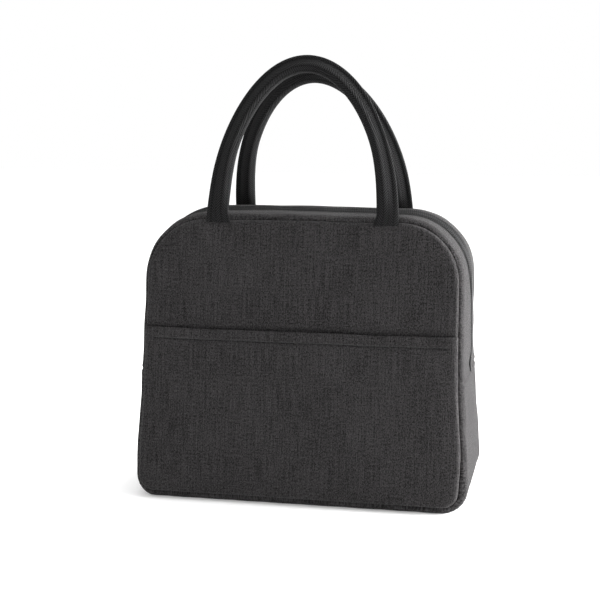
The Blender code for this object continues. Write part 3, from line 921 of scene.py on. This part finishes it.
def heather(name, dark, light, yarn=0.42):
    """Woven polyester of mixed grey yarns. The UV unit is 100 mm and the yarn pitch is in mm."""
    n = Nodes(name)
    per = 100.0 / yarn
    fine = n.uv((1.0, 1.0, 1.0))
    split = n.node("ShaderNodeSeparateXYZ", {0: fine})
    u, v = split.outputs[0], split.outputs[1]
    warp = n.math("SINE", n.math("MULTIPLY", u, per * math.pi))
    weft = n.math("SINE", n.math("MULTIPLY", v, per * math.pi))
    weave = n.math("MULTIPLY", warp, weft)
    streak = n.noise(n.uv((88.0, 4.0, 1.0)), 1.0, 3.0, 0.65)
    short = n.noise(n.uv((135.0, 60.0, 1.0)), 1.0, 2.0, 0.6)
    cross = n.noise(n.uv((7.0, 100.0, 1.0)), 1.0, 2.0, 0.6)
    cloud = n.noise(n.uv((2.2, 1.6, 1.0)), 1.0, 3.0, 0.5)
    mixed = n.math("ADD", n.math("MULTIPLY", streak, 0.34), n.math("MULTIPLY", short, 0.54))
    mixed = n.math("ADD", mixed, n.math("MULTIPLY", cross, 0.15))
    mixed = n.math("ADD", mixed, n.math("MULTIPLY", cloud, 0.1))
    fleck = n.noise(n.uv((190.0, 120.0, 1.0)), 1.0, 1.0, 0.5)
    mixed = n.math("ADD", mixed, n.math("MULTIPLY", n.math("SUBTRACT", fleck, 0.5), 0.55))
    mixed = n.math("ADD", mixed, n.math("MULTIPLY", weave, 0.04))
    mid = tuple((a + b) / 2 for a, b in zip(dark, light))
    stops = [(0.46, dark), (0.7, light), (0.57, mid)]
    n.feed(n.shader.inputs["Base Color"], n.ramp(mixed, stops))
    rough = n.math("ADD", n.math("MULTIPLY", short, 0.12), 0.84)
    n.feed(n.shader.inputs["Roughness"], rough)
    height = n.math("ADD", n.math("MULTIPLY", weave, 0.35), n.math("MULTIPLY", short, 0.9))
    height = n.math("ADD", height, n.math("MULTIPLY", streak, 0.5))
    n.feed(n.shader.inputs["Normal"], n.bump(height, 0.8, 0.0006))
    n.shader.inputs["Sheen Weight"].default_value = 0.05
    n.shader.inputs["Sheen Roughness"].default_value = 0.45
    n.shader.inputs["Specular IOR Level"].default_value = 0.1
    return n.material


def herringbone(name):
    """Black webbing: slanted ribs that change way every few millimetres."""
    n = Nodes(name)
    split = n.node("ShaderNodeSeparateXYZ", {0: n.uv((1.0, 1.0, 1.0))})
    across, along = split.outputs[0], split.outputs[1]
    wobble = n.noise(n.uv((14.0, 14.0, 1.0)), 1.0, 2.0, 0.5)
    along = n.math("ADD", along, n.math("MULTIPLY", wobble, 0.02))
    rib = n.math("PINGPONG", across, HERRINGBONE)
    slant = n.math("ADD", n.math("MULTIPLY", rib, 1.3), along)
    lines = n.math("SINE", n.math("MULTIPLY", slant, 2 * math.pi / RIB))
    lines = n.math("MULTIPLY", n.math("ADD", lines, 1.0), 0.5)
    turn = n.math("SUBTRACT", 1.0, n.math("MULTIPLY", rib, 1 / HERRINGBONE))
    turn = n.math("POWER", n.math("ABSOLUTE", n.math("SUBTRACT", n.math("MULTIPLY", turn, 2.0), 1.0)), 6.0)
    speck = n.noise(n.uv((150.0, 110.0, 1.0)), 1.0, 2.0, 0.7)
    height = n.math("SUBTRACT", lines, n.math("MULTIPLY", turn, 0.5))
    height = n.math("ADD", height, n.math("MULTIPLY", speck, 0.9))
    shade = n.math("MULTIPLY", height, 0.62)
    dark, mid, light = (0.0008, 0.0008, 0.0009), (0.0036, 0.0036, 0.0038), (0.034, 0.034, 0.035)
    stops = [(0.2, dark), (1.0, light), (0.62, mid)]
    n.feed(n.shader.inputs["Base Color"], n.ramp(shade, stops))
    n.shader.inputs["Roughness"].default_value = 0.75
    n.feed(n.shader.inputs["Normal"], n.bump(height, 0.9, 0.0006))
    n.shader.inputs["Sheen Weight"].default_value = 0.02
    n.shader.inputs["Sheen Roughness"].default_value = 0.4
    n.shader.inputs["Specular IOR Level"].default_value = 0.1
    return n.material


def foil(name):
    """Crinkled silver film over foam."""
    n = Nodes(name)
    place = n.object((1.0, 1.0, 1.0))
    crease = n.noise(place, 55.0, 3.0, 0.6)
    folds = n.node("ShaderNodeTexVoronoi", {"Vector": place, "Scale": 70.0}).outputs[0]
    height = n.math("ADD", n.math("MULTIPLY", crease, 0.7), n.math("MULTIPLY", folds, 0.6))
    stops = [(0.2, (0.42, 0.43, 0.45)), (0.8, (0.72, 0.73, 0.75))]
    n.feed(n.shader.inputs["Base Color"], n.ramp(crease, stops))
    n.shader.inputs["Metallic"].default_value = 0.85
    n.feed(n.shader.inputs["Roughness"], n.math("ADD", n.math("MULTIPLY", crease, 0.3), 0.22))
    n.feed(n.shader.inputs["Normal"], n.bump(height, 0.5, 0.0012))
    return n.material


def soft(name, dark, light, grain, bump, rough):
    """A plain matt material with a fine grain."""
    n = Nodes(name)
    place = n.object((1.0, 1.0, 1.0))
    cells = n.noise(place, grain, 3.0, 0.6)
    n.feed(n.shader.inputs["Base Color"], n.ramp(cells, [(0.3, dark), (0.7, light)]))
    n.shader.inputs["Roughness"].default_value = rough
    n.feed(n.shader.inputs["Normal"], n.bump(cells, 0.4, bump))
    return n.material


def dark_metal(name):
    n = Nodes(name)
    place = n.object((1.0, 1.0, 1.0))
    scuff = n.noise(place, 900.0, 3.0, 0.6)
    n.feed(
        n.shader.inputs["Base Color"],
        n.ramp(scuff, [(0.3, (0.05, 0.05, 0.055)), (0.75, (0.11, 0.11, 0.12))]),
    )
    n.shader.inputs["Metallic"].default_value = 0.9
    n.feed(n.shader.inputs["Roughness"], n.math("ADD", n.math("MULTIPLY", scuff, 0.25), 0.25))
    return n.material


CHARCOAL = heather("charcoal_heather", (0.0036, 0.0032, 0.0034), (0.0480, 0.0456, 0.0466))
WEBBING_LOOK = herringbone("black_webbing")
FOIL_LOOK = foil("silver_foil")
FOAM_LOOK = soft("foam", (0.62, 0.62, 0.6), (0.8, 0.8, 0.78), 1500.0, 0.0002, 0.85)
BINDING_LOOK = soft("binding", (0.06, 0.06, 0.06), (0.12, 0.12, 0.12), 2500.0, 0.0003, 0.85)
TAPE_LOOK = soft("zip_tape", (0.003, 0.003, 0.0032), (0.008, 0.008, 0.0084), 2500.0, 0.0003, 0.85)
COIL_LOOK = soft("nylon_coil", (0.006, 0.006, 0.0065), (0.022, 0.022, 0.023), 1500.0, 0.0001, 0.6)
THREAD_LOOK = soft("thread", (0.008, 0.008, 0.008), (0.02, 0.02, 0.02), 3000.0, 0.0002, 0.7)
METAL_LOOK = dark_metal("dark_plated_zinc")


def dress(obj, material):
    obj.data.materials.clear()
    obj.data.materials.append(material)
    return obj


def bends_with(obj):
    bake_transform(obj)


# ---------------------------------------------------------------- the pieces


def panel_area():
    loop = panel_loop()[0]
    x, z = loop.T
    return abs(np.dot(x, np.roll(z, -1)) - np.dot(z, np.roll(x, -1))) / 2 * MM * MM


def declare_panel():
    panel_area()


def lining_panel(name, facing, inset_edge, depth, thickness):
    """An inner layer of a panel: it follows the outer one and stops short of the gusset's layer."""
    offsets = tuple(inset_edge + o for o in (0.0, 1.5, 3.5, 5.5))
    points, quads = ring_patch(panel_loop(), offsets, ROWS)
    x, z = points.T
    depth = np.full_like(x, depth) - puffed(edge_distance(x, z), (INNER_PUFF, 16.0))
    shell = slump(placed(x, z, depth, facing))
    quads = face_out(shell, quads, MIDDLE)
    return make_mesh(name, *thicken(shell, quads, points, thickness))


INNER_EDGE = 1.0
FOAM_DEPTH = 1.5
LINING_DEPTH = 5.8
INNER_DEPTH = 6.5
FOAM_SINK = 1.3
LINING_SINK = 5.5
BINDING_SINK = 6.1
BINDING_WIDTH = 8.0

for word, facing in (("front", FRONT), ("back", BACK)):
    skin = dress(panel(f"{word}_panel", facing), CHARCOAL)
    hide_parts(f"{word}_panel_lower", f"{word}_panel_upper")
    declare_panel()
    bends_with(skin)

    foam = lining_panel(f"{word}_foam", facing, INNER_EDGE + 1.5, FOAM_DEPTH + INNER_PUFF, FOAM - 0.2)
    dress(foam, FOAM_LOOK)
    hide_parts(f"{word}_foam_lower", f"{word}_foam_upper")
    bends_with(foam)

    film = lining_panel(f"{word}_lining", facing, INNER_EDGE, LINING_DEPTH + INNER_PUFF, LINING)
    dress(film, FOIL_LOOK)
    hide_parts(f"{word}_lining_lower", f"{word}_lining_upper")
    declare_panel()
    bends_with(film)

    ring = spaced(whole_run())
    rows = flat_rows(
        from_seam(facing, INNER_DEPTH + 0.4), from_seam(facing, INNER_DEPTH + BINDING_WIDTH), 5
    )
    tape = band(f"seam_binding_{word}", ring, rows, 1.3, BINDING_SINK, closed=True)
    dress(tape, BINDING_LOOK)
    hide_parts(f"seam_binding_{word}_lower", f"seam_binding_{word}_upper")
    bends_with(tape)

    strip = dress(top_strip(f"top_strip_{word}_fabric", facing), CHARCOAL)
    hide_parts(f"top_strip_{word}")
    arch = run_length(upper_run()[0]) * MM
    bends_with(strip)

    layers = (
        (f"top_foam_{word}_pad", f"top_foam_{word}", FOAM_LOOK, "foam", FOAM_SINK, FOAM - 0.1),
        (f"top_lining_{word}_film", f"top_lining_{word}", FOIL_LOOK, "foil_lining", LINING_SINK, LINING),
    )
    for name, node, look, slot, sink, thickness in layers:
        depth = SHOULDER + SEAM_DEPTH if "foam" in name else INNER_DEPTH
        rows = flat_rows(
            from_seam(facing, depth), lambda z, facing=facing: facing * (TAPE_REACH + 1.0), 10
        )
        layer = band(name, spaced(upper_run()), rows, thickness, sink)
        dress(layer, look)
        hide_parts(node)
        bends_with(layer)

    rows = flat_rows(
        lambda z, facing=facing: facing * TAPE_START,
        lambda z, facing=facing: facing * TAPE_REACH,
        8,
    )
    tape = band(f"zip_tape_{word}_cloth", spaced(upper_run()), rows, 0.5, TAPE_SINK)
    dress(tape, TAPE_LOOK)
    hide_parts(f"zip_tape_{word}")
    bends_with(tape)

    coil = zip_coil(f"zip_coil_{word}_turns", facing)
    make_tube_faces_consistent(coil)
    dress(coil, COIL_LOOK)
    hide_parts(f"zip_coil_{word}")
    bends_with(coil)

    thread = dress(lip_stitches(f"top_stitches_{word}", facing), THREAD_LOOK)
    bends_with(thread)

    lean = FRONT_LEAN if facing == FRONT else BACK_LEAN
    strap = handle(f"{word}_handle", facing, lean)
    dress(strap, WEBBING_LOOK)
    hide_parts(f"{word}_handle_webbing", f"{word}_handle_core")
    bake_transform(strap)

gusset = dress(lower_gusset("lower_gusset_fabric"), CHARCOAL)
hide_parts("lower_gusset")
under = run_length(lower_run()[0]) * MM
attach(gusset, "lower_shell")

layers = (
    ("lower_gusset_pad", "lower_gusset_foam", FOAM_LOOK, "foam", FOAM_SINK, FOAM - 0.1),
    ("lower_gusset_film", "lower_gusset_lining", FOIL_LOOK, "foil_lining", LINING_SINK, LINING),
)
for name, node, look, slot, sink, thickness in layers:
    depth = SHOULDER + SEAM_DEPTH if "pad" in name else INNER_DEPTH
    rows = flat_rows(from_seam(FRONT, depth), from_seam(BACK, depth), 26)
    layer = band(name, spaced(lower_run()), rows, thickness, sink)
    dress(layer, look)
    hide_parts(node)
    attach(layer, "lower_shell")

slip = dress(pocket("front_pocket"), CHARCOAL)
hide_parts("front_pocket_lower", "front_pocket_upper")
bends_with(slip)

thread = dress(hem_stitches("pocket_hem_stitches"), THREAD_LOOK)
bends_with(thread)

for node in ("zip_slider_body", "zip_pull_tab"):
    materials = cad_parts[node].data.materials
    materials.clear()
    materials.append(METAL_LOOK)


# ---------------------------------------------------------------- studio

FLOOR_HALF = 6.0

floor_mesh = bpy.data.meshes.new("floor")
corners = [(x * FLOOR_HALF, y * FLOOR_HALF, 0) for x, y in ((-1, -1), (1, -1), (1, 1), (-1, 1))]
floor_mesh.from_pydata(corners, [], [(0, 1, 2, 3)])
floor = bpy.data.objects.new("floor", floor_mesh)
bpy.context.scene.collection.objects.link(floor)
floor_look = Nodes("pale_floor")
floor_look.shader.inputs["Base Color"].default_value = (0.9, 0.9, 0.9, 1.0)
floor_look.shader.inputs["Roughness"].default_value = 0.9
floor_look.shader.inputs["Emission Color"].default_value = (1.0, 1.0, 1.0, 1.0)
floor_look.shader.inputs["Emission Strength"].default_value = 0.2
floor_mesh.materials.append(floor_look.material)


def area_light(name, place, target, size, power):
    light = bpy.data.lights.new(name, "AREA")
    light.shape = "DISK"
    light.size = size
    light.energy = power
    obj = bpy.data.objects.new(name, light)
    bpy.context.scene.collection.objects.link(obj)
    obj.location = place
    aim = Vector(target) - Vector(place)
    obj.rotation_euler = aim.to_track_quat("-Z", "Y").to_euler()


area_light("key_right", (1.6, 0.2, 0.28), (0.0, 0.0, 0.12), 0.9, 142.0)
area_light("top_soft", (0.3, 0.5, 1.8), (0.0, 0.0, 0.1), 1.2, 27.0)

world = bpy.data.worlds.new("studio")
bpy.context.scene.world = world
world.use_nodes = True
world.node_tree.nodes["Background"].inputs[0].default_value = (1.0, 1.0, 1.0, 1.0)
world.node_tree.nodes["Background"].inputs[1].default_value = 1.0
bpy.context.scene.view_settings.view_transform = "Standard"

camera_data = bpy.data.cameras.new("camera")
camera_data.lens = 79.45
camera_data.sensor_width = 36.0
camera = bpy.data.objects.new("camera", camera_data)
bpy.context.scene.collection.objects.link(camera)
eye = Vector((0.18595, -0.94209, 0.26562))
aim = Vector((-0.00927, 0.0, 0.13739)) - eye
roll = Matrix.Rotation(math.radians(0.336), 4, "Z")
turn = aim.to_track_quat("-Z", "Y").to_matrix().to_4x4()
camera.matrix_world = Matrix.Translation(eye) @ turn @ roll
bpy.context.scene.camera = camera

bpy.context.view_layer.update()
